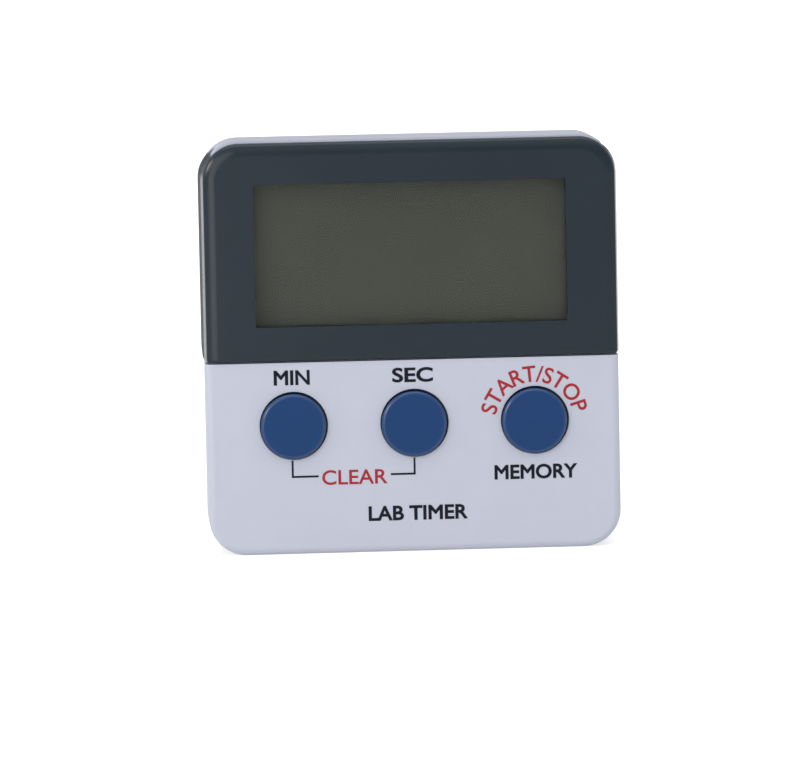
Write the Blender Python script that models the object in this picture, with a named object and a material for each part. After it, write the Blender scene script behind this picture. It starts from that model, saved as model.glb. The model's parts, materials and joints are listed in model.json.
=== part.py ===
"""Lab timer: a pocket countdown timer with a liquid-crystal display and three push buttons.

+Z is up and the front looks along -Y, so +X is to the right of someone reading the
display. The origin is the middle of the footprint. Design values are millimetres, and
point() turns them into the scene's metres. A depth s is measured backwards from the
light front face.
"""
import math

import bmesh
import bpy
from mathutils import Vector

MM = 0.001

# Driving dimensions
CASE_W = 66.4
CASE_H = 66.6
CASE_DEPTH = 15.5
CORNER_R = 6.0
WALL = 1.6
GAP = 0.15
SPLIT_Z = 31.1
BUTTON_PROUD = 1.0
MAGNET_PROUD = 0.2
MID_DEPTH = (CASE_DEPTH + MAGNET_PROUD - BUTTON_PROUD) / 2

# Depths of the layers, front to back
COVER_FRONT = -0.3
COVER_BACK = 1.2
SHELL_BACK = 12.8
EAR_BACK = 12.2
GLASS_FRONT = 3.45
BOARD_FRONT = 7.0
BOARD_BACK = 8.2
FLOOR_FRONT = 13.9

# Cover: its edge is a drafted side, a tight shoulder and a long crown up to the flat face
EAR_PROUD = 0.2
EAR_FLARE = 0.22
EAR_THICK = 0.95
RIM_FACET = 1.75
RIM_DRAFT = 11.3
SHOULDER_R = 0.5
CROWN_START = 65
CROWN_R = 4.0
LOW_EDGE_SHARE = 0.13
WINDOW_W = 50.1
WINDOW_LOW = 36.7
WINDOW_HIGH = 59.6

# Display opening in the front shell, and the clear plate in its pocket: x and z limits
POCKET = (-26.5, 26.5, 35.5, 60.9)
OPENING = (-25.8, 25.8, 36.2, 60.2)
CLEAR_PLATE = (-26.3, 26.3, 35.7, 60.7)
CLEAR_THICK = 1.0

# Buttons
BUTTONS = {"min": -19.4, "sec": 0.0, "start_stop": 19.4}
BUTTON_Z = 20.7
BUTTON_R = 5.25
BUTTON_HOLE_R = 5.5
FLANGE_R = 6.1
FLANGE_THICK = 0.8
CAP_SAG = (0.08, 0.1)
CAP_EDGE = 0.45

# Battery bay
CELL_Z = 8.1
CELL_S = 7.4
CELL_R = 5.25
CELL_HALF = 22.3
BAY_TOP = 13.6
BAY_BACK = 11.0
CELL_WAY = (-24.6, 24.6, 2.6, 13.6)
DOOR_SEAT = (-28.0, 28.0, 1.9, 14.1)
DOOR = (-27.7, 27.7, 2.2, 13.8)

# Fold-out stand
HINGE_Z = 18.0
HINGE_S = 14.2
STAND_HALF_W = 16.9
STAND_TIP = 43.9
TRAY = (-17.3, 17.3, 15.6, 44.6)
TRAY_FLOOR = 12.6

# Fasteners, magnets and sounder
CASE_SCREWS = ((-29.5, 17.5), (29.5, 17.5), (-28.9, 62.0), (28.9, 62.0))
BOARD_SCREWS = ((-23.5, 32.8), (23.5, 32.8), (-9.7, 16.6), (9.7, 16.6))
BOSS_R = 2.2
POST_R = 1.5
MAGNET_X = 25.2
MAGNET_Z = 40.0
MAGNET_R = 5.0
BUZZER_Z = 55.0
SOUNDER_R = 9.0
HEAD_SINK = 1.1
MAGNET_SEAT = CASE_DEPTH - 1.95

# Board and keypad mat: x and z limits
BOARD = (-26, 26, 15, 63)
MAT = (-26, 26, 15.4, 26.4)

# How far a rib runs into the wall it stands on, and a cutter past the face it cuts
ROOT = 0.3
OVERSHOOT = 1.0

CORNER_STEPS = 10
TURN_STEPS = 28
RIM_STEPS = 4

MATERIALS = {
    "case_plastic": ((0.55, 0.58, 0.68), 0.45, 0.0),
    "cover_plastic": ((0.035, 0.045, 0.06), 0.18, 0.0),
    "button_plastic": ((0.016, 0.06, 0.17), 0.35, 0.0),
    "clear_plastic": ((0.8, 0.82, 0.8), 0.05, 0.0),
    "display_glass": ((0.3, 0.32, 0.26), 0.08, 0.0),
    "polarizer_film": ((0.12, 0.13, 0.10), 0.3, 0.0),
    "silicone_rubber": ((0.6, 0.6, 0.62), 0.6, 0.0),
    "carbon_rubber": ((0.02, 0.02, 0.02), 0.8, 0.0),
    "circuit_board": ((0.02, 0.16, 0.06), 0.4, 0.0),
    "black_resin": ((0.01, 0.01, 0.012), 0.3, 0.0),
    "steel": ((0.55, 0.55, 0.56), 0.3, 1.0),
    "nickel": ((0.66, 0.63, 0.58), 0.25, 1.0),
    "brass": ((0.78, 0.57, 0.2), 0.3, 1.0),
    "ceramic": ((0.8, 0.8, 0.76), 0.5, 0.0),
    "cell_jacket": ((0.08, 0.16, 0.10), 0.35, 0.0),
    "red_wire": ((0.5, 0.02, 0.02), 0.45, 0.0),
    "black_wire": ((0.02, 0.02, 0.02), 0.45, 0.0),
}


def point(x, s, z):
    """A design point, s behind the front face, as metres in the world."""
    return Vector((x * MM, (s - MID_DEPTH) * MM, z * MM))


# ---------------------------------------------------------------- shape tools

def material(name):
    """The Principled material of that name, made once."""
    found = bpy.data.materials.get(name)
    if found:
        return found
    colour, roughness, metallic = MATERIALS[name]
    made = bpy.data.materials.new(name)
    made.use_nodes = True
    shader = made.node_tree.nodes["Principled BSDF"]
    shader.inputs["Base Color"].default_value = (*colour, 1.0)
    shader.inputs["Roughness"].default_value = roughness
    shader.inputs["Metallic"].default_value = metallic
    made.diffuse_color = (*colour, 1.0)
    return made


def link(name, data):
    made = bpy.data.objects.new(name, data)
    bpy.context.collection.objects.link(made)
    return made


def loft(name, rings, closed=False):
    """A solid through rings of equally many points, capped at both ends unless it closes."""
    bm = bmesh.new()
    loops = [[bm.verts.new(point(*place)) for place in ring] for ring in rings]
    count = len(rings[0])
    pairs = list(zip(loops, loops[1:]))
    if closed:
        pairs.append((loops[-1], loops[0]))
    else:
        bm.faces.new(loops[0])
        bm.faces.new(loops[-1])
    for near, far in pairs:
        for i in range(count):
            j = (i + 1) % count
            bm.faces.new((near[i], near[j], far[j], far[i]))
    bmesh.ops.recalc_face_normals(bm, faces=bm.faces)
    mesh = bpy.data.meshes.new(name)
    bm.to_mesh(mesh)
    bm.free()
    return link(name, mesh)


def outline(shape, steps=CORNER_STEPS):
    """A rounded rectangle (x0, x1, z0, z1, low radius, high radius) as (x, z) points."""
    x0, x1, z0, z1, low_r, high_r = shape
    corners = (
        (x0 + low_r, z0 + low_r, low_r, 180),
        (x1 - low_r, z0 + low_r, low_r, 270),
        (x1 - high_r, z1 - high_r, high_r, 0),
        (x0 + high_r, z1 - high_r, high_r, 90),
    )
    points = []
    for x, z, radius, start in corners:
        for step in range(steps + 1):
            angle = math.radians(start + 90 * step / steps)
            points.append((x + radius * math.cos(angle), z + radius * math.sin(angle)))
    return points


def shrink(shape, inset, low_inset=None):
    """The same rounded rectangle, smaller by inset, and by low_inset at its lower edge."""
    x0, x1, z0, z1, low_r, high_r = shape
    low_inset = inset if low_inset is None else low_inset
    least = 0.1
    return (x0 + inset, x1 - inset, z0 + low_inset, z1 - inset,
            max(low_r - low_inset, least), max(high_r - inset, least))


def slab(name, shape, front, back, front_round=None, back_round=None):
    """A rounded rectangle from depth front to back. A round is (inset, low inset, depth)."""
    rings = []

    def ring(inset, low_inset, depth):
        rings.append([(x, depth, z) for x, z in outline(shrink(shape, inset, low_inset))])

    quarter = [math.radians(90 * step / 5) for step in range(6)]
    if front_round:
        side, low, depth = front_round
        for angle in quarter[:-1]:
            left = 1 - math.sin(angle)
            ring(side * left, low * left, front + depth * (1 - math.cos(angle)))
        front += depth
    ring(0, 0, front)
    if not back_round:
        ring(0, 0, back)
        return loft(name, rings)
    side, low, depth = back_round
    ring(0, 0, back - depth)
    for angle in quarter[1:]:
        left = 1 - math.cos(angle)
        ring(side * left, low * left, back - depth * (1 - math.sin(angle)))
    return loft(name, rings)


def block(name, x0, x1, s0, s1, z0, z1):
    corners = ((x0, z0), (x1, z0), (x1, z1), (x0, z1))
    return loft(name, [[(x, s, z) for x, z in corners] for s in (s0, s1)])


def side_prism(name, profile, half_width):
    """A prism along X from a profile of (s, z) points."""
    return loft(name, [[(x, s, z) for s, z in profile] for x in (-half_width, half_width)])


def turned(name, profile, centre, axis="Y", steps=TURN_STEPS, closed=False):
    """A turned piece from (distance along the axis, radius) points."""
    cx, cs, cz = centre
    rings = []
    for along, radius in profile:
        ring = []
        for step in range(steps):
            angle = math.tau * step / steps
            across = radius * math.cos(angle)
            up = radius * math.sin(angle)
            if axis == "X":
                ring.append((cx + along, cs + across, cz + up))
            else:
                ring.append((cx + across, cs + along, cz + up))
        rings.append(ring)
    return loft(name, rings, closed)


def rod(name, centre, radius, start, end, axis="Y", steps=TURN_STEPS):
    return turned(name, ((start, radius), (end, radius)), centre, axis, steps)


def tube_ring(name, centre, inner, outer, start, end):
    profile = ((start, outer), (end, outer), (end, inner), (start, inner))
    return turned(name, profile, centre, closed=True)


def combine(target, tools, operation):
    """Apply each tool to the target with a Boolean, and remove the tool."""
    for tool in tools:
        modifier = target.modifiers.new(tool.name, "BOOLEAN")
        modifier.operation = operation
        modifier.solver = "EXACT"
        modifier.object = tool
        depsgraph = bpy.context.evaluated_depsgraph_get()
        solved = bpy.data.meshes.new_from_object(target.evaluated_get(depsgraph))
        target.modifiers.clear()
        target.data = solved
        bpy.data.objects.remove(tool)
    return target


def add(target, *tools):
    return combine(target, tools, "UNION")


def cut(target, *tools):
    return combine(target, tools, "DIFFERENCE")


def keep(target, *tools):
    return combine(target, tools, "INTERSECT")


def finish(piece, material_name, parent=None, smooth=True):
    """Give a piece its material, shading and parent."""
    piece.data.materials.clear()
    piece.data.materials.append(material(material_name))
    if smooth and piece.type == "MESH":
        piece.data.shade_smooth()
        piece.data.set_sharp_from_angle(angle=math.radians(30))
    if parent:
        bpy.context.view_layer.update()
        piece.parent = parent
        move = Vector(parent.matrix_world.translation)
        if piece.type == "MESH":
            for vertex in piece.data.vertices:
                vertex.co -= move
        else:
            for spline in piece.data.splines:
                for spot in spline.points:
                    spot.co = (*(Vector(spot.co[:3]) - move), 1.0)
    return piece


def axis_empty(name, place):
    """An empty on a joint's axis, for the pieces that move with it."""
    made = link(name, None)
    made.location = point(*place)
    made.empty_display_size = 5 * MM
    return made


def wire(name, route, radius, sides=2):
    """A round wire along a route of (x, s, z) points."""
    curve = bpy.data.curves.new(name, "CURVE")
    curve.dimensions = "3D"
    curve.bevel_depth = radius * MM
    curve.bevel_resolution = sides
    curve.render_resolution_u = 0
    curve.use_fill_caps = True
    spline = curve.splines.new("POLY")
    spline.points.add(len(route) - 1)
    for spot, place in zip(spline.points, route):
        spot.co = (*point(*place), 1.0)
    spline.use_smooth = True
    return link(name, curve)


def smooth_route(stops, steps=6):
    """A Catmull-Rom route through the stops."""
    padded = [stops[0], *stops, stops[-1]]
    route = []
    for a, b, c, d in zip(padded, padded[1:], padded[2:], padded[3:]):
        for step in range(steps):
            t = step / steps
            route.append(tuple(
                0.5 * (2 * q + (r - p) * t + (2 * p - 5 * q + 4 * r - u) * t ** 2
                       + (3 * q - p - 3 * r + u) * t ** 3)
                for p, q, r, u in zip(a, b, c, d)))
    route.append(stops[-1])
    return route


# ---------------------------------------------------------------- casing

def case_shape(grow=0.0):
    half = CASE_W / 2 + grow
    return (-half, half, 0.0, CASE_H, CORNER_R, CORNER_R)


def ear_profile(grow):
    """Side view of the cover, grown by a clearance: a front plate and swept side ears."""
    front = COVER_FRONT - 1
    plate = COVER_BACK + grow
    reach = EAR_BACK - COVER_BACK
    low_sweep = 2.7
    high_sweep = 6.0
    low = SPLIT_Z - grow
    high = CASE_H - high_sweep + grow
    profile = [(front, low), (plate, low)]
    for step in range(1, 8):
        angle = math.radians(90 * step / 8)
        profile.append((plate + reach * math.sin(angle), low + low_sweep * (1 - math.cos(angle))))
    profile.append((plate + reach, low + low_sweep))
    for step in range(0, 12):
        angle = math.radians(90 * step / 12)
        profile.append((plate + reach * math.cos(angle), high + high_sweep * math.sin(angle)))
    profile.append((plate, high + high_sweep))
    profile.append((plate, CASE_H + 2))
    profile.append((front, CASE_H + 2))
    return profile


def front_shell():
    """The light tub: front wall, side walls, bosses, posts and ribs, recessed for the cover."""
    edge = 1.1
    shell = slab("front_shell", case_shape(), 0.0, SHELL_BACK, front_round=(edge, edge, edge))
    cut(shell, slab("hollow", shrink(case_shape(), WALL), WALL, SHELL_BACK + OVERSHOOT))

    # The upper front wall steps back under the cover.
    wall_back = COVER_BACK + GAP + WALL
    half = CASE_W / 2 - WALL / 2
    overlap = WALL - 0.1
    add(shell, slab("upper_wall", (-half, half, SPLIT_Z - overlap, CASE_H - 1, 0.2, 5.0),
                    WALL / 3, wall_back))
    clearance = side_prism("clearance", ear_profile(GAP), CASE_W)
    ring = slab("ring", case_shape(1.0), -2.0, EAR_BACK + GAP)
    recess_core = shrink(case_shape(), EAR_THICK - EAR_PROUD + GAP)
    core_shape = (recess_core[0], recess_core[1], -2.0, recess_core[3] + 3, 0.2, 8.0)
    cut(ring, slab("core", core_shape, COVER_BACK + GAP, SHELL_BACK + OVERSHOOT))
    keep(ring, clearance)
    cut(shell, ring)

    # Display opening: a pocket for the clear window, then the way through to the glass.
    cut(shell,
        slab("pocket", (*POCKET, 0.3, 0.3), 0.0, COVER_BACK + CLEAR_THICK + 2 * GAP),
        slab("way", (*OPENING, 0.3, 0.3), 0.0, wall_back + OVERSHOOT))
    for x in BUTTONS.values():
        hole = (x + CAP_SAG[0], 0, BUTTON_Z + CAP_SAG[1])
        cut(shell, rod("hole", hole, BUTTON_HOLE_R, -OVERSHOOT, WALL + OVERSHOOT, steps=40))

    rib_front = wall_back - ROOT
    floor = WALL - ROOT
    for side in (-1, 1):
        x0, x1 = sorted((side * 26.6, side * 27.4))
        add(shell, block("glass_rib", x0, x1, rib_front, 6.5, 38, 56))
    for x, z in CASE_SCREWS:
        add(shell, rod("boss", (x, 0, z), BOSS_R, floor, SHELL_BACK, steps=24))
    for x, z in BOARD_SCREWS:
        add(shell, rod("post", (x, 0, z), POST_R, floor, BOARD_FRONT - GAP, steps=24))
    add(shell,
        block("bay_wall", -24, 22, floor, BAY_BACK, BAY_TOP, BAY_TOP + 0.7),
        block("bay_end_right", 23.2, 24.2, floor, BAY_BACK, floor, BAY_TOP + 0.4),
        block("bay_end_left", -27.4, -26.4, floor, BAY_BACK, floor, BAY_TOP + 0.4))
    for x, z in CASE_SCREWS:
        cut(shell, rod("screw_hole", (x, 0, z), 1.1, 6.0, SHELL_BACK + OVERSHOOT, steps=16))
    for x, z in BOARD_SCREWS:
        cut(shell, rod("screw_hole", (x, 0, z), 0.85, 3.4, BOARD_FRONT, steps=16))
    return finish(shell, "case_plastic")


def cover_rim():
    """The cover's edge as (inset, depth behind its face) points, from the side inwards."""
    bends = ((SHOULDER_R, RIM_DRAFT, CROWN_START), (CROWN_R, CROWN_START, 90))
    points = [(0.0, 0.0), (RIM_FACET * math.tan(math.radians(RIM_DRAFT)), RIM_FACET)]
    for radius, start, end in bends:
        inset, rise = points[-1]
        first = math.radians(start)
        for step in range(1, RIM_STEPS + 1):
            turn = math.radians(start + (end - start) * step / RIM_STEPS)
            points.append((inset + radius * (math.cos(first) - math.cos(turn)),
                           rise + radius * (math.sin(turn) - math.sin(first))))
    face = points[-1][1]
    return [(inset, face - rise) for inset, rise in points]


def display_cover():
    """The dark cover: a crowned plate with a window and a swept ear down each side."""
    half = CASE_W / 2 + EAR_PROUD
    shape = (-half, half, SPLIT_Z, CASE_H, 0.6, CORNER_R + EAR_PROUD)
    stations = [(-EAR_FLARE, EAR_BACK)]
    stations += [(inset, COVER_FRONT + depth) for inset, depth in cover_rim()]
    rings = []
    for inset, depth in stations:
        low_inset = max(inset, 0.0) * LOW_EDGE_SHARE
        rings.append([(x, depth, z) for x, z in outline(shrink(shape, inset, low_inset))])
    cover = loft("display_cover", rings)
    inner_half = half - EAR_THICK
    inner = (-inner_half, inner_half, SPLIT_Z - 4, CASE_H + 4, 0.2, 9.0)
    cut(cover, slab("inner", inner, COVER_BACK, SHELL_BACK + OVERSHOOT))
    keep(cover, side_prism("side_view", ear_profile(0.0), CASE_W))
    window = (-WINDOW_W / 2, WINDOW_W / 2, WINDOW_LOW, WINDOW_HIGH, 0.15, 0.15)
    cut(cover, slab("window", window, COVER_FRONT - OVERSHOOT, COVER_BACK + OVERSHOOT))
    return finish(cover, "cover_plastic")


def rear_cover():
    """The back plate: rim, stand tray, battery opening, magnet pockets, sounder seat."""
    edge = 1.2
    front = SHELL_BACK + GAP
    cover = slab("rear_cover", case_shape(), front, CASE_DEPTH, back_round=(edge, edge, edge))
    cut(cover, slab("hollow", shrink(case_shape(), WALL), front - OVERSHOOT, FLOOR_FRONT))
    inner = FLOOR_FRONT + ROOT
    behind = CASE_DEPTH + OVERSHOOT
    x0, x1, z0, z1 = TRAY
    wall = 1.2
    add(cover, block("tray_walls", x0 - wall, x1 + wall, TRAY_FLOOR - wall, inner, z0 - wall,
                     z1 + wall),
        block("bay_frame", -29, 29, front, inner, 1.0, 14.5))
    for side in (-1, 1):
        add(cover, rod("magnet_seat", (side * MAGNET_X, 0, MAGNET_Z), 6.4, front, inner))
    for x, z in CASE_SCREWS:
        add(cover, rod("boss", (x, 0, z), BOSS_R, front, inner, steps=24))
    add(cover, tube_ring("sounder_seat", (0, 0, BUZZER_Z), 8.3, 9.4, TRAY_FLOOR, inner))

    cut(cover, slab("tray", (x0, x1, z0, z1, 0.6, 2.0), TRAY_FLOOR, behind),
        rod("finger_scoop", (0, 19.6, 45.5), 5.0, -6, 6, axis="X", steps=32),
        rod("pin_hole", (0, HINGE_S, HINGE_Z), 0.95, -18.5, 18.5, axis="X", steps=20),
        slab("door_seat", (*DOOR_SEAT, 0.8, 0.8), FLOOR_FRONT - 0.05, behind),
        slab("cell_way", (*CELL_WAY, 0.4, 0.4), front - OVERSHOOT, CASE_DEPTH))
    for side in (-1, 1):
        cut(cover, rod("magnet_pocket", (side * MAGNET_X, 0, MAGNET_Z), MAGNET_R + GAP,
                       MAGNET_SEAT, behind))
    for x, z in CASE_SCREWS:
        cut(cover, rod("screw_way", (x, 0, z), 1.3, front - OVERSHOOT, CASE_DEPTH, steps=16),
            rod("head_seat", (x, 0, z), 2.0, CASE_DEPTH - HEAD_SINK, behind, steps=24))
    ring_r = 3.2
    holes = [(0.0, BUZZER_Z)]
    for k in range(6):
        angle = math.tau * k / 6
        holes.append((ring_r * math.cos(angle), BUZZER_Z + ring_r * math.sin(angle)))
    for x, z in holes:
        cut(cover, rod("sound_hole", (x, 0, z), 0.7, FLOOR_FRONT - OVERSHOOT, behind, steps=12))
    return finish(cover, "case_plastic")


def battery_door():
    """The lift-off battery door, with two locating tongues, grip ribs and a nail slot."""
    pull = axis_empty("battery_door_pull", (0, CASE_DEPTH, CELL_Z))
    door = slab("battery_door", (*DOOR, 0.6, 0.6), FLOOR_FRONT + 0.1, CASE_DEPTH,
                back_round=(0.3, 0.3, 0.3))
    for side in (-1, 1):
        x0, x1 = sorted((side * 23.2, side * 24.2))
        add(door, block("tongue", x0, x1, 12.4, FLOOR_FRONT + 0.4, 6.0, 10.2))
    grip_pitch = 1.6
    groove = 0.7
    for k in range(5):
        x = 18.0 + grip_pitch * k
        cut(door, block("grip", x, x + groove, CASE_DEPTH - groove / 2, CASE_DEPTH + OVERSHOOT,
                        5.0, 11.0))
    return finish(door, "case_plastic", pull)


# ---------------------------------------------------------------- stand

def stand():
    """The fold-out plate on its steel pin."""
    hinge = axis_empty("stand_hinge", (0, HINGE_S, HINGE_Z))
    half_thick = 1.2
    shape = (-STAND_HALF_W, STAND_HALF_W, HINGE_Z, STAND_TIP, 0.1, 1.6)
    plate = slab("stand_plate", shape, HINGE_S - half_thick, HINGE_S + half_thick,
                 back_round=(0.3, 0.0, 0.3))
    add(plate, rod("knuckle", (0, HINGE_S, HINGE_Z), 1.25, -STAND_HALF_W, STAND_HALF_W,
                   axis="X", steps=24))
    cut(plate, rod("bore", (0, HINGE_S, HINGE_Z), 0.95, -STAND_HALF_W - 1, STAND_HALF_W + 1,
                   axis="X", steps=20),
        slab("lightening", (-11, 11, 24.5, 37, 1.5, 1.5), HINGE_S - 2, HINGE_S + 0.2))
    finish(plate, "case_plastic", hinge)
    pin = rod("stand_pin", (0, HINGE_S, HINGE_Z), 0.8, -18.2, 18.2, axis="X", steps=20)
    finish(pin, "steel")


# ---------------------------------------------------------------- display

def display():
    """Clear window, the liquid-crystal cell as its layers, and its rubber connector."""
    window_front = COVER_BACK + GAP
    finish(slab("display_window", (*CLEAR_PLATE, 0.3, 0.3), window_front,
                window_front + CLEAR_THICK), "clear_plastic")
    film = 0.2
    glass = 1.0
    low = 34.6
    ledge = 37.3
    high = 61.0
    layers = (
        ("lcd_front_polarizer", 26.1, low + 1.4, film, "polarizer_film"),
        ("lcd_front_glass", 26.3, low, glass, "display_glass"),
        ("lcd_rear_glass", 26.3, ledge, glass, "display_glass"),
        ("lcd_reflector", 26.1, ledge + 0.3, film, "polarizer_film"),
    )
    front = GLASS_FRONT - GAP - film
    for name, half, z0, thick, finish_name in layers:
        finish(block(name, -half, half, front, front + thick, z0, high), finish_name)
        front += thick + GAP
    strip_front = GLASS_FRONT + glass + GAP
    finish(block("zebra_connector", -24, 24, strip_front, BOARD_FRONT - GAP, 34.8, 36.7),
           "silicone_rubber")


# ---------------------------------------------------------------- keypad

def buttons():
    """Three caps with flanges behind the front wall, each with its carbon pill."""
    cap = []
    for step in range(5):
        angle = math.radians(90 * step / 4)
        cap.append((-BUTTON_PROUD + CAP_EDGE * (1 - math.cos(angle)),
                    BUTTON_R - CAP_EDGE * (1 - math.sin(angle))))
    flange_front = WALL + GAP
    flange_back = flange_front + FLANGE_THICK
    stem_back = flange_back + 0.5
    stem_r = 2.5
    cap += [(flange_front, BUTTON_R), (flange_front, FLANGE_R), (flange_back, FLANGE_R),
            (flange_back, stem_r), (stem_back, stem_r)]
    for name, x in BUTTONS.items():
        press = axis_empty(f"button_{name}_axis", (x, 0, BUTTON_Z))
        finish(turned(f"button_{name}", cap, (x, 0, BUTTON_Z), steps=40), "button_plastic", press)
        pill = rod(f"contact_pill_{name}", (x, 0, BUTTON_Z), 1.6, 5.05, 6.05, steps=20)
        finish(pill, "carbon_rubber", press)


def keypad_mat():
    """One silicone sheet with a hollow dome under each button."""
    back = BOARD_FRONT - GAP
    front = back - 0.8
    mat = slab("keypad_mat", (*MAT, 1.5, 1.5), front, back)
    for x in BUTTONS.values():
        add(mat, turned("dome", ((front + 0.3, 4.6), (front - 0.3, 4.4), (4.4, 3.0), (3.2, 3.0)),
                        (x, 0, BUTTON_Z), steps=24))
        cut(mat, turned("hollow", ((back + OVERSHOOT, 3.9), (front - 0.2, 3.7), (4.9, 2.3)),
                        (x, 0, BUTTON_Z), steps=24))
    for x, z in BOARD_SCREWS[2:]:
        cut(mat, rod("post_way", (x, 0, z), POST_R + 0.35, front - OVERSHOOT, back + OVERSHOOT,
                     steps=20))
    return finish(mat, "silicone_rubber")


# ---------------------------------------------------------------- electronics

def circuit():
    """The board with the parts soldered to its rear face."""
    board = slab("main_board", (*BOARD, 1.0, 1.0), BOARD_FRONT, BOARD_BACK)
    for x, z in BOARD_SCREWS:
        cut(board, rod("screw_way", (x, 0, z), 1.05, BOARD_FRONT - OVERSHOOT,
                       BOARD_BACK + OVERSHOOT, steps=16))
    finish(board, "circuit_board")

    seat = BOARD_BACK + GAP
    blob = [(seat, 6.0)]
    for step in range(1, 6):
        angle = math.radians(15 * step)
        blob.append((seat + 1.5 * math.sin(angle), 6.0 * math.cos(angle)))
    finish(turned("chip_blob", blob, (0, 0, 36), steps=28), "black_resin")
    crystal_r = 1.0
    finish(rod("quartz_crystal", (12, seat + crystal_r, 30), crystal_r, 0, 6.0, axis="X",
               steps=20), "nickel")
    for name, z in (("timing_capacitor_a", 26.6), ("timing_capacitor_b", 24.2)):
        finish(block(name, 12, 14, seat, seat + 1.2, z, z + 1.3), "ceramic")
    finish(block("bias_resistor", -15, -13, seat, seat + 0.6, 28, 29.2), "black_resin")
    driver_half = 2.1
    finish(turned("buzzer_transistor", ((0, driver_half), (3.6, driver_half)),
                  (-17, seat + driver_half, 48), axis="X", steps=20), "black_resin")


def sounder():
    """The piezo sounder: a brass disc with its ceramic element, and two wires."""
    seat = TRAY_FLOOR - GAP
    brass_thick = 0.25
    ceramic_thick = 0.2
    centre = (0, 0, BUZZER_Z)
    finish(rod("sounder_disc", centre, SOUNDER_R, seat - brass_thick, seat), "brass")
    ceramic_back = seat - brass_thick - GAP
    finish(rod("sounder_element", centre, 6.0, ceramic_back - ceramic_thick, ceramic_back),
           "ceramic")
    tail = ceramic_back - ceramic_thick - 0.6
    wires = (
        ("sounder_wire_red", "red_wire", ((2, tail, 56), (5, 10.4, 53), (8, 9.4, 48), (10, 8.8, 45))),
        ("sounder_wire_black", "black_wire", ((-7.6, seat - 0.9, 55), (-9, 10.4, 52),
                                              (-10, 9.4, 48), (-11, 8.8, 45))),
    )
    for name, colour, stops in wires:
        finish(wire(name, smooth_route(stops), 0.35), colour, smooth=False)


def battery():
    """The cell, its two contacts, the conical spring and the wires up to the board."""
    centre = (0, CELL_S, CELL_Z)
    nub_r = 1.9
    profile = ((-CELL_HALF, CELL_R - 0.4), (-CELL_HALF + 0.4, CELL_R),
               (CELL_HALF - 1.3, CELL_R), (CELL_HALF - 0.9, CELL_R - 0.4),
               (CELL_HALF - 0.9, nub_r), (CELL_HALF - 0.1, nub_r), (CELL_HALF, nub_r - 0.1))
    finish(turned("battery_cell", profile, centre, axis="X", steps=28), "cell_jacket")
    plate = 0.3
    finish(block("positive_contact", 22.6, 22.6 + plate, 3.5, 10.8, 3.6, 13.0), "nickel")
    left = -26.1
    finish(block("negative_contact", left, left + plate, 3.5, 10.8, 3.6, 13.0), "nickel")

    turns = 3.5
    steps = 12
    start = left + plate + 0.5
    length = -CELL_HALF - 0.45 - start
    route = []
    for step in range(round(turns * steps) + 1):
        t = step / (turns * steps)
        angle = math.tau * turns * t
        radius = 3.4 - 1.4 * t
        route.append((start + length * t, CELL_S + radius * math.cos(angle),
                      CELL_Z + radius * math.sin(angle)))
    finish(wire("battery_spring", route, 0.25), "nickel", smooth=False)
    wires = (
        ("battery_wire_red", "red_wire", ((22.75, 9.0, 13.7), (22.9, 9.3, 15.5),
                                          (22.4, 9.4, 18.0), (20.5, 9.1, 20.0))),
        ("battery_wire_black", "black_wire", ((-25.95, 9.0, 13.7), (-25.6, 9.3, 15.5),
                                              (-24.6, 9.4, 18.0), (-22.5, 9.1, 20.0))),
    )
    for name, colour, stops in wires:
        finish(wire(name, smooth_route(stops), 0.45), colour, smooth=False)


# ---------------------------------------------------------------- fasteners and magnets

def screw(name, x, z, head_front, head_r, shank_r, tip):
    """A cross-head screw driven from behind, its head's underside at head_front."""
    height = 0.75
    profile = [(tip, shank_r * 0.5), (tip + 0.8, shank_r), (head_front, shank_r),
               (head_front, head_r), (head_front + height * 0.5, head_r),
               (head_front + height, head_r * 0.75)]
    made = turned(name, profile, (x, 0, z), steps=16)
    slot = 0.22
    arm = head_r * 0.55
    depth = head_front + height * 0.35
    cross = block("slot_a", x - arm, x + arm, depth, head_front + 2, z - slot, z + slot)
    add(cross, block("slot_b", x - slot, x + slot, depth, head_front + 2, z - arm, z + arm))
    cut(made, cross)
    return finish(made, "steel")


def screws():
    head_seat = CASE_DEPTH - HEAD_SINK + GAP
    for index, (x, z) in enumerate(CASE_SCREWS, start=1):
        screw(f"case_screw_{index}", x, z, head_seat, 1.75, 0.95, 6.6)
    for index, (x, z) in enumerate(BOARD_SCREWS, start=1):
        screw(f"board_screw_{index}", x, z, BOARD_BACK + GAP, 1.6, 0.7, 4.0)


def magnets():
    for name, side in (("magnet_left", -1), ("magnet_right", 1)):
        front = MAGNET_SEAT + GAP
        back = CASE_DEPTH + MAGNET_PROUD
        edge = 0.25
        disc = turned(name, ((front, MAGNET_R), (back - edge, MAGNET_R), (back, MAGNET_R - edge)),
                      (side * MAGNET_X, 0, MAGNET_Z))
        finish(disc, "nickel")


def main():
    for leftover in list(bpy.data.objects):
        bpy.data.objects.remove(leftover)
    front_shell()
    display_cover()
    rear_cover()
    battery_door()
    stand()
    display()
    buttons()
    keypad_mat()
    circuit()
    sounder()
    battery()
    screws()
    magnets()


main()
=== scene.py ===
"""The lab timer's looks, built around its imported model. Metres, +Z up, the front along -Y.

Shapes are given in millimetres as (x, s, z), where s is the depth behind the light front
face, and place() turns them into metres in the frame.
"""
import json
import math

import bmesh
import bpy
from mathutils import Matrix, Vector


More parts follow.
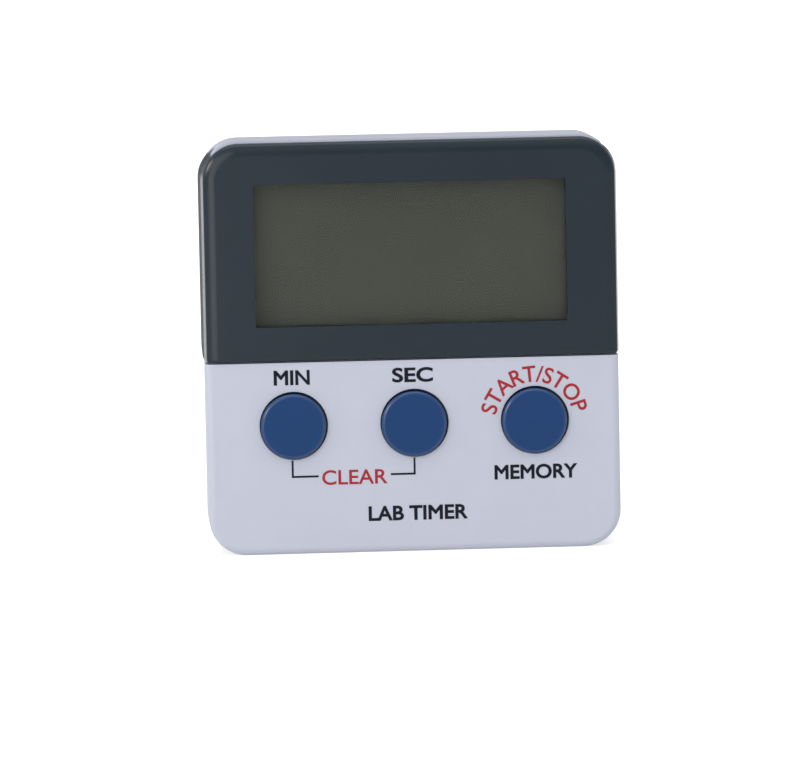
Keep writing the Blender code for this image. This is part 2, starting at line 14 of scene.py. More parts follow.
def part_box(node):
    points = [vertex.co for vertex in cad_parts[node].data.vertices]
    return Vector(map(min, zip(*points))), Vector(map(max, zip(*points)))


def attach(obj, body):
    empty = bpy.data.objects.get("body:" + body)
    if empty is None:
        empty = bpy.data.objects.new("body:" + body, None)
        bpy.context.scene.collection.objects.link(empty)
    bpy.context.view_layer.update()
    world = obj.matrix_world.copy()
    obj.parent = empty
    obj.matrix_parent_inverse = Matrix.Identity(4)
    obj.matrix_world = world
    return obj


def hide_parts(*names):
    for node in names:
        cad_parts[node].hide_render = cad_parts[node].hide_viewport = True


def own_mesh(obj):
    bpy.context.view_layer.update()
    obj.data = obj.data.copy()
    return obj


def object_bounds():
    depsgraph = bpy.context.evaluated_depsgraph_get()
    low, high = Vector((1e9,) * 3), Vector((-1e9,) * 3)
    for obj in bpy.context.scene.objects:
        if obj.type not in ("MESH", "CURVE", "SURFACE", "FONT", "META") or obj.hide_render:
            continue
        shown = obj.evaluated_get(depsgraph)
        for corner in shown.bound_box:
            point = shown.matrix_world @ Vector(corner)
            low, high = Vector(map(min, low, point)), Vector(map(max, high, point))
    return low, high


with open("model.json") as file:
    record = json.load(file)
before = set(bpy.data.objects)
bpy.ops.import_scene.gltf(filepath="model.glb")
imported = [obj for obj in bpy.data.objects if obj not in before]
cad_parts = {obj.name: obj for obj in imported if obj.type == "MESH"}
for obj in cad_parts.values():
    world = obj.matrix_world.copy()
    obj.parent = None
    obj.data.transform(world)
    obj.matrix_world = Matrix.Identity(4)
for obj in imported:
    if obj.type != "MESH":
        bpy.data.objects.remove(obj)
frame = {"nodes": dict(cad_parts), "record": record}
CAD_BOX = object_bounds()

MM = 0.001
CASE = "case"
SHELL_LOW, SHELL_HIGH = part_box("front_shell")
FRONT_Y = SHELL_LOW.y
CENTRE = Vector((0.0, 0.0, (SHELL_LOW.z + SHELL_HIGH.z) / 2))
BUTTONS = ("button_min", "button_sec", "button_start_stop")

# The display cover's edge: drafted side, tight shoulder, long crown
EAR_FLARE = 0.22
EAR_THICK = 0.95
RIM_FACET = 1.75
RIM_DRAFT = 11.3
SHOULDER_R = 0.5
CROWN_START = 65
CROWN_R = 4.0
LOW_EDGE_SHARE = 0.13
LOW_CORNER_R = 0.6
HIGH_CORNER_R = 6.2
PLATE_THICK = 1.5
LOW_SWEEP = 2.7
HIGH_SWEEP = 6.0
COVER_EASE = 0.06
POLISHED_DEPTH = 2.75

# The hollow behind the cover's plate: how far it runs on past the cover's ends, and its corners
HOLLOW_PAST = 4.0
HOLLOW_LOW_R = 0.2
HOLLOW_HIGH_R = 9.0

# The cover's opening, measured inwards from the clear window behind it
WINDOW_INSET = 1.25
WINDOW_LIFT = 1.0
WINDOW_DROP = 1.1
OPENING_R = 0.25

# Buttons: the edge's radius, how far behind the flat its polish starts, the flange, the stem
BUTTON_EDGE = 0.5
EDGE_START = 0.001
FLANGE_LIP = 0.85
FLANGE_THICK = 0.8
STEM_BEHIND = 0.5
STEM_R = 2.5

CORNER_STEPS = 24
RIM_STEPS = 10
TURN_STEPS = 96
EASE_STEPS = 3
TYPE_STEPS = 6

# How far a Boolean tool runs past what it cuts, and what counts as one point or one flat
OVERSHOOT = 1.0
WELD = 0.002
FLAT_ANGLE = 0.3
CUT_TOLERANCE = 0.0001

# Nodes with fine copies, and how much their edges are eased
EASED = {
    "front_shell": 0.12, "rear_cover": 0.12, "battery_door": 0.12, "stand_plate": 0.15,
    "display_window": 0.05, "stand_pin": 0.1, "battery_cell": 0.0,
    "magnet_left": 0.0, "magnet_right": 0.0,
    "case_screw_1": 0.0, "case_screw_2": 0.0, "case_screw_3": 0.0, "case_screw_4": 0.0,
}

# Printed ink: its gap to the face and its thickness; how far each stroke's sides are pushed
# out and what counts as one point, as shares of the type's size; and how sharp a corner
# may grow with them
INK_LIFT = 0.01
INK_THICK = 0.02
INK_WEIGHT = {"ink_dark": 0.030, "ink_red": 0.014}
MITRE_LIMIT = 0.6
TYPE_WELD = 1e-5

# Legends, placed from the middles of the buttons
CAP_HEIGHT = 2.4
WORDS_ABOVE = 7.85
WORDS_BELOW = 8.3
TITLE_BELOW = 14.4
LINES_BELOW = 5.5
LINE_STROKE = 0.32
LEFT_LINE_END = -15.5
RIGHT_LINE_END = -3.9
ARCH_R = 6.2
ARCH_HALF_TURN = 80
ARCH_CAP_HEIGHT = 2.65
ARCH_SQUEEZE = 0.98

# Colours
CASE_COLOUR = (0.314, 0.330, 0.391)
COVER_DARK = (0.0024, 0.0080, 0.0142)
COVER_LIGHT = (0.0038, 0.0103, 0.0170)
SIDE_COLOUR = (0.018, 0.022, 0.028)
BUTTON_COLOUR = (0.0004, 0.0240, 0.092)
FILM_DARK = (0.0330, 0.0365, 0.0280)
FILM_LIGHT = (0.0400, 0.0435, 0.0345)

# How strongly each glossy surface mirrors its surroundings at a straight look
COVER_SPECULAR = 0.28
FILM_SPECULAR = 0.2
INK_SPECULAR = 0.12


# ---------------------------------------------------------------- places in the frame

def place(x, s, z):
    return Vector((x * MM, FRONT_Y + s * MM, z * MM))


def design(corner):
    """A corner of the frame as (x, s, z) in millimetres."""
    return corner.x / MM, (corner.y - FRONT_Y) / MM, corner.z / MM


def middle(node):
    low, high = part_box(node)
    return design((low + high) / 2)


def body_of(node):
    for body, members in frame["record"]["behaviour"]["bodies"].items():
        if node in members:
            return body
    return CASE


def slot_of(node):
    for row in frame["record"]["subparts"]:
        if row["node"] == node:
            return row["material_slot"]
    return None


# ---------------------------------------------------------------- camera

VIEW_AZIMUTH = -3.26
VIEW_ELEVATION = 5.05
VIEW_ROLL = 1.126
VIEW_DISTANCE = 0.9
FRAME_WIDTH_MM = 129.37
SHIFT_X = -0.0123
SHIFT_Y = -0.0509
SENSOR = 36.0


def make_camera():
    """A long lens, a little left of the front and above it, held slightly out of level."""
    azimuth = math.radians(VIEW_AZIMUTH)
    elevation = math.radians(VIEW_ELEVATION)
    back = Vector((math.sin(azimuth) * math.cos(elevation),
                   -math.cos(azimuth) * math.cos(elevation),
                   math.sin(elevation)))
    data = bpy.data.cameras.new("camera")
    data.sensor_width = SENSOR
    data.lens = SENSOR * VIEW_DISTANCE / (FRAME_WIDTH_MM * MM)
    data.shift_x = SHIFT_X
    data.shift_y = SHIFT_Y
    data.clip_start = 0.05
    data.clip_end = 60.0
    camera = bpy.data.objects.new("camera", data)
    bpy.context.scene.collection.objects.link(camera)
    turn = (-back).to_track_quat("-Z", "Y").to_matrix().to_4x4()
    roll = Matrix.Rotation(math.radians(-VIEW_ROLL), 4, "Z")
    camera.matrix_world = Matrix.Translation(CENTRE + back * VIEW_DISTANCE) @ turn @ roll
    bpy.context.scene.camera = camera


# ---------------------------------------------------------------- mesh tools

def link(name, data):
    made = bpy.data.objects.new(name, data)
    bpy.context.scene.collection.objects.link(made)
    return made


def loft(name, rings):
    """A solid through rings of equally many (x, s, z) points, capped at both ends."""
    bm = bmesh.new()
    loops = [[bm.verts.new(place(*spot)) for spot in ring] for ring in rings]
    count = len(rings[0])
    bm.faces.new(loops[0])
    bm.faces.new(loops[-1])
    for near, far in zip(loops, loops[1:]):
        for i in range(count):
            j = (i + 1) % count
            bm.faces.new((near[i], near[j], far[j], far[i]))
    bmesh.ops.recalc_face_normals(bm, faces=bm.faces)
    mesh = bpy.data.meshes.new(name)
    bm.to_mesh(mesh)
    bm.free()
    return link(name, mesh)


def outline(x0, x1, z0, z1, low_r, high_r):
    """A rounded rectangle as (x, z) points, anticlockwise from its lower left corner."""
    corners = (
        (x0 + low_r, z0 + low_r, low_r, 180),
        (x1 - low_r, z0 + low_r, low_r, 270),
        (x1 - high_r, z1 - high_r, high_r, 0),
        (x0 + high_r, z1 - high_r, high_r, 90),
    )
    points = []
    for x, z, radius, start in corners:
        for step in range(CORNER_STEPS + 1):
            angle = math.radians(start + 90 * step / CORNER_STEPS)
            points.append((x + radius * math.cos(angle), z + radius * math.sin(angle)))
    return points


def prism(name, shape, front, back):
    """A rounded rectangle (as for outline) drawn back from one depth to another."""
    return loft(name, [[(x, s, z) for x, z in outline(*shape)] for s in (front, back)])


def turned(name, centre, profile):
    """A piece turned about Y through centre, from (depth, radius) points."""
    rings = []
    for depth, radius in profile:
        ring = []
        for step in range(TURN_STEPS):
            angle = math.tau * step / TURN_STEPS
            ring.append((centre[0] + radius * math.cos(angle), depth,
                         centre[2] + radius * math.sin(angle)))
        rings.append(ring)
    return loft(name, rings)


def combine(target, tool, operation):
    """Apply a tool to the target with a Boolean, and remove the tool."""
    modifier = target.modifiers.new("tool", "BOOLEAN")
    modifier.operation = operation
    modifier.solver = "EXACT"
    modifier.object = tool
    depsgraph = bpy.context.evaluated_depsgraph_get()
    solved = bpy.data.meshes.new_from_object(target.evaluated_get(depsgraph))
    target.modifiers.clear()
    target.data = solved
    bpy.data.objects.remove(tool)


def shade(piece, angle=32):
    piece.data.shade_smooth()
    piece.data.set_sharp_from_angle(angle=math.radians(angle))
    weights = piece.modifiers.new("weights", "WEIGHTED_NORMAL")
    weights.keep_sharp = True


def ease_edges(piece, width, angle=38):
    """A small round on each sharp edge."""
    ease = piece.modifiers.new("ease", "BEVEL")
    ease.width = width * MM
    ease.segments = EASE_STEPS
    ease.limit_method = "ANGLE"
    ease.angle_limit = math.radians(angle)


def tidy_mesh(piece):
    """Join split points and merge the triangles of each flat."""
    bm = bmesh.new()
    bm.from_mesh(piece.data)
    bmesh.ops.remove_doubles(bm, verts=bm.verts, dist=WELD * MM)
    bmesh.ops.dissolve_limit(bm, angle_limit=math.radians(FLAT_ANGLE),
                             verts=bm.verts, edges=bm.edges)
    bm.to_mesh(piece.data)
    bm.free()


def paint(piece, *names):
    piece.data.materials.clear()
    for name in names:
        piece.data.materials.append(MATERIALS[name])


def stand_for(piece, node):
    """The piece shows in the CAD node's place, on its body, and the node is hidden."""
    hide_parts(node)
    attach(piece, body_of(node))


def refined(node, easing):
    """A fine copy of a CAD node: joined, with its edges eased and its curves smooth."""
    piece = link(node + "_fine", frame["nodes"][node].data.copy())
    tidy_mesh(piece)
    if easing:
        ease_edges(piece, easing)
    shade(piece)
    paint(piece, slot_of(node))
    stand_for(piece, node)


# ---------------------------------------------------------------- materials

MATERIALS = {}


def new_material(name):
    made = bpy.data.materials.new(name)
    made.use_nodes = True
    MATERIALS[name] = made
    tree = made.node_tree
    return tree, tree.nodes["Principled BSDF"]


def coordinates(tree, scale=(1.0, 1.0, 1.0), turn=(0.0, 0.0, 0.0)):
    """The piece's own coordinates in metres, stretched and turned."""
    source = tree.nodes.new("ShaderNodeTexCoord").outputs["Object"]
    mapping = tree.nodes.new("ShaderNodeMapping")
    mapping.inputs["Scale"].default_value = scale
    mapping.inputs["Rotation"].default_value = turn
    tree.links.new(source, mapping.inputs["Vector"])
    return mapping.outputs["Vector"]


def noise(tree, where, scale, detail=2.0, roughness=0.5):
    node = tree.nodes.new("ShaderNodeTexNoise")
    node.inputs["Scale"].default_value = scale
    node.inputs["Detail"].default_value = detail
    node.inputs["Roughness"].default_value = roughness
    tree.links.new(where, node.inputs["Vector"])
    return node.outputs["Fac"]


def bump(tree, shader, height, strength, distance):
    node = tree.nodes.new("ShaderNodeBump")
    node.inputs["Strength"].default_value = strength
    node.inputs["Distance"].default_value = distance
    tree.links.new(height, node.inputs["Height"])
    tree.links.new(node.outputs["Normal"], shader.inputs["Normal"])


def ramp(tree, value, low, high, stops=(0.3, 0.7)):
    """A colour that runs from low to high as value passes the stops."""
    node = tree.nodes.new("ShaderNodeValToRGB")
    for element, stop, colour in zip(node.color_ramp.elements, stops, (low, high)):
        element.position = stop
        element.color = (*colour, 1.0)
    tree.links.new(value, node.inputs["Fac"])
    return node.outputs["Color"]


def grey(value):
    return (value, value, value)


def tinted(colour, factor):
    return tuple(min(1.0, part * factor) for part in colour)


def moulded(name, colour, roughness, grain_size, grain_depth, variation=0.03,
            specular=0.5, spread=0.05):
    """Moulded plastic or rubber: a fine spark-eroded grain, and slight drifts of tone."""
    tree, shader = new_material(name)
    where = coordinates(tree)
    drift = noise(tree, where, 160, 3.0, 0.6)
    tree.links.new(ramp(tree, drift, tinted(colour, 1 - variation), tinted(colour, 1 + variation)),
                   shader.inputs["Base Color"])
    grain = noise(tree, where, 1 / (grain_size * MM), 3.0, 0.65)
    tree.links.new(ramp(tree, grain, grey(roughness - spread), grey(roughness + spread)),
                   shader.inputs["Roughness"])
    shader.inputs["Specular IOR Level"].default_value = specular
    bump(tree, shader, grain, 0.5, grain_depth * MM)


def metal(name, colour, roughness, stretch=(1.0, 1.0, 1.0)):
    """Plated or bare metal, brushed where the grain is stretched."""
    tree, shader = new_material(name)
    lines = noise(tree, coordinates(tree, stretch), 4000, 2.0, 0.6)
    tree.links.new(ramp(tree, lines, tinted(colour, 0.92), tinted(colour, 1.04)),
                   shader.inputs["Base Color"])
    tree.links.new(ramp(tree, lines, grey(roughness - 0.06), grey(roughness + 0.08)),
                   shader.inputs["Roughness"])
    shader.inputs["Metallic"].default_value = 1.0
    bump(tree, shader, lines, 0.15, 0.02 * MM)


def glossy_cover():
    """Polished dark plastic: faint handling smears and very fine scuffs in the gloss."""
    tree, shader = new_material("cover_plastic")
    where = coordinates(tree)
    cloud = noise(tree, where, 70)
    tree.links.new(ramp(tree, cloud, COVER_DARK, COVER_LIGHT), shader.inputs["Base Color"])
    smear = noise(tree, coordinates(tree, (1.0, 1.0, 0.35), (0.0, 0.5, 0.0)), 420, 4.0, 0.7)
    tree.links.new(ramp(tree, smear, grey(0.21), grey(0.26), (0.35, 0.75)),
                   shader.inputs["Roughness"])
    shader.inputs["Specular IOR Level"].default_value = COVER_SPECULAR
    bump(tree, shader, noise(tree, where, 2500), 0.12, 0.004 * MM)


def clear_window(name, tint):
    tree, shader = new_material(name)
    smears = noise(tree, coordinates(tree), 60)
    tree.links.new(ramp(tree, smears, grey(0.01), grey(0.05)), shader.inputs["Roughness"])
    shader.inputs["Base Color"].default_value = (*tint, 1.0)
    shader.inputs["Transmission Weight"].default_value = 1.0
    shader.inputs["IOR"].default_value = 1.12


def display_film():
    """The olive-grey front of a blank liquid-crystal display, with its faint shading."""
    tree, shader = new_material("polarizer_film")
    where = coordinates(tree)
    cloud = noise(tree, where, 25)
    tree.links.new(ramp(tree, cloud, FILM_DARK, FILM_LIGHT), shader.inputs["Base Color"])
    fine = noise(tree, where, 9000, 1.0)
    tree.links.new(ramp(tree, fine, grey(0.30), grey(0.38)), shader.inputs["Roughness"])
    shader.inputs["Specular IOR Level"].default_value = FILM_SPECULAR
    bump(tree, shader, fine, 0.1, 0.01 * MM)


def board_green():
    """Solder mask over copper, with its tracks as slightly raised paler lines."""
    tree, shader = new_material("circuit_board")
    tracks = tree.nodes.new("ShaderNodeTexBrick")
    tracks.inputs["Scale"].default_value = 420
    tracks.inputs["Color1"].default_value = (0.012, 0.11, 0.04, 1.0)
    tracks.inputs["Color2"].default_value = (0.018, 0.14, 0.055, 1.0)
    tracks.inputs["Mortar"].default_value = (0.03, 0.22, 0.09, 1.0)
    tracks.inputs["Mortar Size"].default_value = 0.03
    where = coordinates(tree, turn=(math.radians(90), 0.0, 0.0))
    tree.links.new(where, tracks.inputs["Vector"])
    tree.links.new(tracks.outputs["Color"], shader.inputs["Base Color"])
    shader.inputs["Roughness"].default_value = 0.35
    bump(tree, shader, tracks.outputs["Fac"], 0.3, 0.05 * MM)


def cell_jacket():
    """A printed steel jacket in two bands along the cell."""
    tree, shader = new_material("cell_jacket")
    where = coordinates(tree)
    split = tree.nodes.new("ShaderNodeSeparateXYZ")
    tree.links.new(where, split.inputs["Vector"])
    band = tree.nodes.new("ShaderNodeMath")
    band.operation = "GREATER_THAN"
    band.inputs[1].default_value = 12 * MM
    tree.links.new(split.outputs["X"], band.inputs[0])
    colours = ramp(tree, band.outputs["Value"], (0.02, 0.05, 0.035), (0.45, 0.30, 0.08), (0.4, 0.6))
    tree.links.new(colours, shader.inputs["Base Color"])
    scuffs = noise(tree, where, 700, 3.0, 0.6)
    tree.links.new(ramp(tree, scuffs, grey(0.24), grey(0.38)), shader.inputs["Roughness"])
    shader.inputs["Metallic"].default_value = 0.6
    bump(tree, shader, scuffs, 0.2, 0.02 * MM)


def ink(name, colour):
    """Pad-printed ink, a little patchy where it meets the grain."""
    tree, shader = new_material(name)
    patchy = noise(tree, coordinates(tree), 3000, 2.0, 0.6)
    tree.links.new(ramp(tree, patchy, tinted(colour, 0.85), tinted(colour, 1.12)),
                   shader.inputs["Base Color"])
    tree.links.new(ramp(tree, patchy, grey(0.45), grey(0.6)), shader.inputs["Roughness"])
    shader.inputs["Specular IOR Level"].default_value = INK_SPECULAR


def make_materials():
    """Moulded pieces give a colour, a roughness, and their grain's size and depth in mm."""
    moulded("case_plastic", CASE_COLOUR, 0.55, 0.22, 0.035, 0.012)
    moulded("cover_side", SIDE_COLOUR, 0.6, 0.2, 0.02, 0.03, specular=0.15)
    moulded("button_plastic", BUTTON_COLOUR, 0.17, 0.3, 0.002, 0.02, specular=0.2)
    moulded("button_rim", BUTTON_COLOUR, 0.17, 0.3, 0.002, 0.02, specular=0.45)
    moulded("silicone_rubber", (0.55, 0.55, 0.57), 0.7, 0.4, 0.02)
    moulded("carbon_rubber", (0.015, 0.015, 0.016), 0.8, 0.4, 0.02)
    moulded("black_resin", (0.008, 0.008, 0.009), 0.3, 0.5, 0.02)
    moulded("ceramic", (0.72, 0.71, 0.66), 0.5, 0.4, 0.01)
    moulded("red_wire", (0.42, 0.016, 0.014), 0.42, 0.4, 0.01)
    moulded("black_wire", (0.014, 0.014, 0.015), 0.42, 0.4, 0.01)
    metal("steel", (0.56, 0.56, 0.57), 0.30)
    metal("nickel", (0.66, 0.64, 0.60), 0.26)
    metal("brass", (0.80, 0.58, 0.24), 0.30, (0.05, 1.0, 1.0))
    glossy_cover()
    clear_window("display_glass", (0.96, 0.97, 0.95))
    clear_window("clear_plastic", (0.97, 0.98, 0.97))
    display_film()
    board_green()
    cell_jacket()
    ink("ink_dark", (0.0035, 0.0040, 0.0095))
    ink("ink_red", (0.235, 0.0155, 0.021))


# ---------------------------------------------------------------- the display cover

def cover_rim():
    """The cover's edge as (inset, depth behind its face) points, from the side inwards."""
    bends = ((SHOULDER_R, RIM_DRAFT, CROWN_START), (CROWN_R, CROWN_START, 90))
    points = [(0.0, 0.0), (RIM_FACET * math.tan(math.radians(RIM_DRAFT)), RIM_FACET)]
    for radius, start, end in bends:
        inset, rise = points[-1]
        first = math.radians(start)
        for step in range(1, RIM_STEPS + 1):
            turn = math.radians(start + (end - start) * step / RIM_STEPS)
            points.append((inset + radius * (math.cos(first) - math.cos(turn)),
                           rise + radius * (math.sin(turn) - math.sin(first))))
    face = points[-1][1]
    return [(inset, face - rise) for inset, rise in points]


def cover_side_view(front, plate, back, low, high):
    """The cover seen from the side: a front plate, and an ear swept at both its ends."""
    reach = back - plate
    quarter = [math.radians(90 * step / CORNER_STEPS) for step in range(CORNER_STEPS + 1)]
    profile = [(front, low)]
    profile += [(plate + reach * math.sin(angle), low + LOW_SWEEP * (1 - math.cos(angle)))
                for angle in quarter]
    sweep_start = high - HIGH_SWEEP
    profile += [(plate + reach * math.cos(angle), sweep_start + HIGH_SWEEP * math.sin(angle))
                for angle in quarter]
    profile += [(plate, high + OVERSHOOT), (front, high + OVERSHOOT)]
    return profile


def display_cover():
    """The dark cover, its edge finely rounded, with a polished front and satin ears."""
    low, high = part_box("display_cover")
    _, front, z0 = design(low)
    wide, back, z1 = design(high)
    half = wide - EAR_FLARE
    plate = front + PLATE_THICK
    stations = [(-EAR_FLARE, back)]
    stations += [(inset, front + depth) for inset, depth in cover_rim()]
    rings = []
    for inset, depth in stations:
        low_inset = max(inset, 0.0) * LOW_EDGE_SHARE
        shape = (-half + inset, half - inset, z0 + low_inset, z1 - inset,
                 LOW_CORNER_R - low_inset, HIGH_CORNER_R - inset)
        rings.append([(x, depth, z) for x, z in outline(*shape)])
    cover = loft("display_cover_fine", rings)

    inner = half - EAR_THICK
    hollow = (-inner, inner, z0 - HOLLOW_PAST, z1 + HOLLOW_PAST, HOLLOW_LOW_R, HOLLOW_HIGH_R)
    combine(cover, prism("hollow", hollow, plate, back + OVERSHOOT), "DIFFERENCE")
    view = cover_side_view(front - OVERSHOOT, plate, back, z0, z1)
    sides = (-wide - OVERSHOOT, wide + OVERSHOOT)
    combine(cover, loft("view", [[(x, s, z) for s, z in view] for x in sides]), "INTERSECT")

    glass_low, glass_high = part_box("display_window")
    left, _, window_low = design(glass_low)
    right, _, window_high = design(glass_high)
    opening = (left + WINDOW_INSET, right - WINDOW_INSET,
               window_low + WINDOW_LIFT, window_high - WINDOW_DROP, OPENING_R, OPENING_R)
    combine(cover, prism("opening", opening, front - OVERSHOOT, plate + OVERSHOOT), "DIFFERENCE")

    tidy_mesh(cover)
    paint(cover, "cover_plastic", "cover_side")
    for face in cover.data.polygons:
        depth = design(face.center)[1] - front
        face.material_index = 1 if depth > POLISHED_DEPTH else 0
    ease_edges(cover, COVER_EASE, 50)
    shade(cover, 30)
    stand_for(cover, "display_cover")


# ---------------------------------------------------------------- the other pieces

def button_caps():
    """Flat caps with a polished round edge, and the flange that keeps them in the case."""
    for node in BUTTONS:
        low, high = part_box(node)
        front = design(low)[1]
        back = design(high)[1]
        flange_r = (high.x - low.x) / 2 / MM
        cap_r = flange_r - FLANGE_LIP
        profile = [(front, cap_r / 2)]
        for step in range(RIM_STEPS + 1):
            angle = math.radians(90 * step / RIM_STEPS)
            profile.append((front + BUTTON_EDGE * (1 - math.cos(angle)),
                            cap_r - BUTTON_EDGE * (1 - math.sin(angle))))
        stem = back - STEM_BEHIND
        profile += [(stem - FLANGE_THICK, cap_r), (stem - FLANGE_THICK, flange_r),
                    (stem, flange_r), (stem, STEM_R), (back, STEM_R)]
        cap = turned(node + "_fine", middle(node), profile)
        shade(cap, 40)
        paint(cap, "button_plastic", "button_rim")
        for face in cap.data.polygons:
            depth = design(face.center)[1] - front
            face.material_index = 1 if EDGE_START < depth < BUTTON_EDGE else 0
        stand_for(cap, node)


def keypad():
    """The keypad mat cut into three strips, one under each button."""
    low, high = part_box("keypad_mat")
    centres = [middle(node)[0] * MM for node in BUTTONS]
    between = [(a + b) / 2 for a, b in zip(centres, centres[1:])]
    ends = [low.x - OVERSHOOT * MM, *between, high.x + OVERSHOOT * MM]
    for node, left, right in zip(BUTTONS, ends, ends[1:]):
        bm = bmesh.new()
        bm.from_mesh(frame["nodes"]["keypad_mat"].data)
        for x, outward in ((left, -1), (right, 1)):
            bmesh.ops.bisect_plane(bm, geom=bm.verts[:] + bm.edges[:] + bm.faces[:],
                                   dist=CUT_TOLERANCE * MM, clear_outer=True,
                                   plane_co=(x, 0, 0), plane_no=(outward, 0, 0))
            bmesh.ops.holes_fill(bm, edges=[edge for edge in bm.edges if edge.is_boundary])
        mesh = bpy.data.meshes.new("keypad_strip")
        bm.to_mesh(mesh)
        bm.free()
        strip = link("keypad_strip_" + node, mesh)
        paint(strip, "silicone_rubber")
        stand_for(strip, "keypad_mat")
        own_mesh(strip)


def carried_nodes():
    """Fine copies of the outer nodes, and finished materials on the inner ones."""
    for node, cad in frame["nodes"].items():
        if node in EASED:
            refined(node, EASED[node])
        elif node not in ("display_cover", "keypad_mat") and node not in BUTTONS:
            paint(cad, slot_of(node))


# ---------------------------------------------------------------- printed legends

def flat_words(words, weight):
    """Words as a thin mesh in X and Y, their strokes thickened outwards by the weight."""
    curve = bpy.data.curves.new(words, "FONT")
    curve.body = words
    curve.resolution_u = TYPE_STEPS
    curve.extrude = INK_THICK / 2
    text = link("words", curve)
    depsgraph = bpy.context.evaluated_depsgraph_get()
    mesh = bpy.data.meshes.new_from_object(text.evaluated_get(depsgraph))
    bpy.data.objects.remove(text)
    bm = bmesh.new()
    bm.from_mesh(mesh)
    bmesh.ops.remove_doubles(bm, verts=bm.verts, dist=TYPE_WELD)
    bm.normal_update()
    moves = {}
    for vert in bm.verts:
        sides = [face.normal for face in vert.link_faces if abs(face.normal.z) < 0.5]
        outward = sum(sides, Vector())
        if sides and outward.length > 0.3:
            outward.normalize()
            reach = max(min(outward.dot(side) for side in sides), MITRE_LIMIT)
            moves[vert] = outward * weight / reach
    for vert, move in moves.items():
        vert.co += move
    bm.to_mesh(mesh)
    bm.free()
    return mesh


def extent(values):
    return min(values), max(values)


def printed(piece, colour):
    paint(piece, colour)
    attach(piece, CASE)


def lettering(name, words, x, z, width, colour):
    """Words printed on the front, centred at (x, z) and fitted to a width."""
    mesh = flat_words(words, INK_WEIGHT[colour])
    u0, u1 = extent([v.co.x for v in mesh.vertices])
    v0, v1 = extent([v.co.y for v in mesh.vertices])
    for vertex in mesh.vertices:
        across = ((vertex.co.x - u0) / (u1 - u0) - 0.5) * width
        up = ((vertex.co.y - v0) / (v1 - v0) - 0.5) * CAP_HEIGHT
        vertex.co = place(x + across, -INK_LIFT - vertex.co.z, z + up)
    printed(link(name, mesh), colour)


def islands(mesh):
    """The mesh's points, grouped by the letter they belong to."""
    parent = list(range(len(mesh.vertices)))

    def root(i):
        while parent[i] != i:
            parent[i] = parent[parent[i]]
            i = parent[i]
        return i

    for edge in mesh.edges:
        parent[root(edge.vertices[0])] = root(edge.vertices[1])
    groups = {}
    for vertex in mesh.vertices:
        groups.setdefault(root(vertex.index), []).append(vertex)
    return list(groups.values())


def arched_lettering(name, words, centre, colour):
    """Words whose letters stand on a circle round centre, spread evenly over the top of it."""
    mesh = flat_words(words, INK_WEIGHT[colour])
    u0, u1 = extent([v.co.x for v in mesh.vertices])
    v0, v1 = extent([v.co.y for v in mesh.vertices])
    scale = ARCH_CAP_HEIGHT / (v1 - v0)
    cx, _, cz = centre
    for letter in islands(mesh):
        left, right = extent([v.co.x for v in letter])
        mid = (left + right) / 2
        angle = math.radians(ARCH_HALF_TURN) * (2 * (mid - u0) / (u1 - u0) - 1)
        for vertex in letter:
            across = (vertex.co.x - mid) * scale * ARCH_SQUEEZE
            up = ARCH_R + (vertex.co.y - v0) * scale
            vertex.co = place(cx + across * math.cos(angle) + up * math.sin(angle),
                              -INK_LIFT - vertex.co.z,
                              cz - across * math.sin(angle) + up * math.cos(angle))
    printed(link(name, mesh), colour)


def bracket(name, x_button, z_top, z_line, x_end):
    """An L-shaped line from below a button down and along towards a word."""
    side = math.copysign(1, x_end - x_button)
    half = LINE_STROKE / 2
    corners = [(x_button - side * half, z_top), (x_button + side * half, z_top),
               (x_button + side * half, z_line + half), (x_end, z_line + half),
               (x_end, z_line - half), (x_button - side * half, z_line - half)]
    front = -INK_LIFT - INK_THICK / 2
    piece = loft(name, [[(x, s, z) for x, z in corners] for s in (front, front + INK_THICK)])
    printed(piece, "ink_dark")


def legends():
    """The words and lines round the buttons: name, words, middle x and z, width, ink."""
    left, centre, right = (middle(node) for node in BUTTONS)
    row = left[2]
    above = row + WORDS_ABOVE
    below = row - WORDS_BELOW
    line_top = row - LINES_BELOW
    clear_x = (left[0] + centre[0]) / 2
    words = (
        ("legend_min", "MIN", left[0] - 0.1, above, 5.8, "ink_dark"),
        ("legend_sec", "SEC", centre[0] - 0.1, above, 6.6, "ink_dark"),
        ("legend_clear", "CLEAR", clear_x, below - 0.1, 10.5, "ink_red"),
        ("legend_memory", "MEMORY", right[0] + 0.1, below + 0.05, 13.4, "ink_dark"),
        ("legend_timer", "LAB TIMER", centre[0] + 0.4, row - TITLE_BELOW, 16.0, "ink_dark"),
    )
    for name, text, x, z, width, colour in words:
        lettering(name, text, x, z, width, colour)
    arched_lettering("legend_start_stop", "START/STOP", right, "ink_red")
    bracket("legend_line_left", left[0] - 0.25, line_top, below + 0.15, LEFT_LINE_END)
    bracket("legend_line_right", centre[0] - 0.05, line_top, below + 0.2, RIGHT_LINE_END)


# ---------------------------------------------------------------- studio

# Parts of the tent that are brighter or dimmer than the rest, each as
# (azimuth, elevation, half-angle where full, half-angle where gone, radiance added)
TENT_LIGHT = 0.75
TENT_LOBES = (
    (0, 60, 20, 45, 0.75),
    (0, 90, 15, 42, 1.6),
    (-84, 22, 16, 42, 1.4),
    (-44, 18, 5, 11, 12.0),
    (84, 25, 15, 40, 0.75),
    (-155, 30, 28, 34, -0.34),
    (150, 25, 20, 40, -0.25),
    (180, 40, 14, 26, -0.20),
)
FLOOR_GLOW = 0.56
FLOOR_COLOUR = (0.50, 0.50, 0.50, 1.0)
FLOOR_RADIUS = 12.0

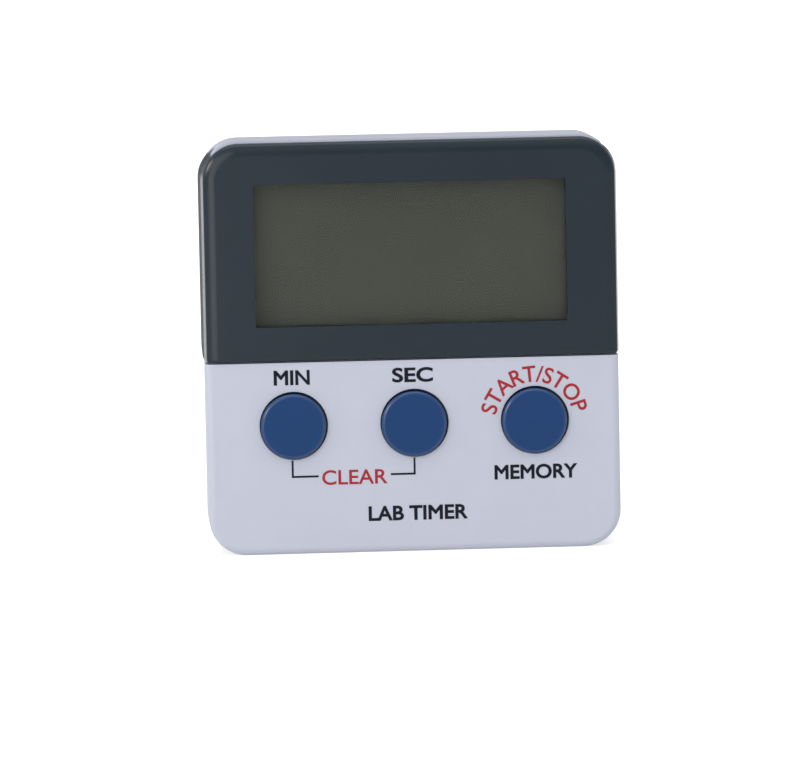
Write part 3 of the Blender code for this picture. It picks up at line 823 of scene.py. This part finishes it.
# A soft light standing on the floor to the left of the camera: its bearing, its distance
# from the timer and its width and height, in metres
SIDE_LIGHT_AZIMUTH = -22
SIDE_LIGHT_DISTANCE = 0.30
SIDE_LIGHT_WIDTH = 0.13
SIDE_LIGHT_HEIGHT = 0.20
SIDE_LIGHT_POWER = 0.20


def direction(azimuth, elevation):
    """Azimuth 0 is the camera's side, and 90 is to its right."""
    a = math.radians(azimuth)
    e = math.radians(elevation)
    return (math.sin(a) * math.cos(e), -math.cos(a) * math.cos(e), math.sin(e))


def tent():
    world = bpy.data.worlds.new("tent")
    world.use_nodes = True
    bpy.context.scene.world = world
    tree = world.node_tree
    where = tree.nodes.new("ShaderNodeTexCoord").outputs["Generated"]
    total = None
    for azimuth, elevation, full, gone, amount in TENT_LOBES:
        dot = tree.nodes.new("ShaderNodeVectorMath")
        dot.operation = "DOT_PRODUCT"
        dot.inputs[1].default_value = direction(azimuth, elevation)
        tree.links.new(where, dot.inputs[0])
        shape = tree.nodes.new("ShaderNodeMapRange")
        shape.interpolation_type = "SMOOTHSTEP"
        shape.inputs["From Min"].default_value = math.cos(math.radians(gone))
        shape.inputs["From Max"].default_value = math.cos(math.radians(full))
        shape.inputs["To Min"].default_value = 0.0
        shape.inputs["To Max"].default_value = amount
        tree.links.new(dot.outputs["Value"], shape.inputs["Value"])
        join = tree.nodes.new("ShaderNodeMath")
        join.operation = "ADD"
        tree.links.new(shape.outputs["Result"], join.inputs[0])
        if total is None:
            join.inputs[1].default_value = TENT_LIGHT
        else:
            tree.links.new(total, join.inputs[1])
        total = join.outputs["Value"]
    background = tree.nodes["Background"]
    background.inputs["Color"].default_value = (1.0, 1.0, 1.0, 1.0)
    tree.links.new(total, background.inputs["Strength"])


def side_light():
    """The soft light, facing the timer and unseen by the camera itself."""
    towards = Vector(direction(SIDE_LIGHT_AZIMUTH, 0))
    data = bpy.data.lights.new("side_light", "AREA")
    data.shape = "RECTANGLE"
    data.size = SIDE_LIGHT_WIDTH
    data.size_y = SIDE_LIGHT_HEIGHT
    data.energy = SIDE_LIGHT_POWER
    light = link("side_light", data)
    light.rotation_euler = towards.to_track_quat("Z", "Y").to_euler()
    light.location = towards * SIDE_LIGHT_DISTANCE
    light.location.z = CAD_BOX[0].z + SIDE_LIGHT_HEIGHT / 2
    light.visible_camera = False


def floor():
    mesh = bpy.data.meshes.new("floor")
    bm = bmesh.new()
    bmesh.ops.create_circle(bm, cap_ends=True, segments=96, radius=FLOOR_RADIUS)
    bm.to_mesh(mesh)
    bm.free()
    ground = link("floor", mesh)
    ground.location.z = CAD_BOX[0].z
    tree, shader = new_material("floor_white")
    shader.inputs["Base Color"].default_value = FLOOR_COLOUR
    shader.inputs["Roughness"].default_value = 0.9
    shader.inputs["Specular IOR Level"].default_value = 0.0
    shader.inputs["Emission Color"].default_value = (1.0, 1.0, 1.0, 1.0)
    shader.inputs["Emission Strength"].default_value = FLOOR_GLOW
    paint(ground, "floor_white")


def main():
    bpy.context.scene.view_settings.view_transform = "Standard"
    make_camera()
    make_materials()
    display_cover()
    button_caps()
    keypad()
    carried_nodes()
    legends()
    tent()
    side_light()
    floor()


main()
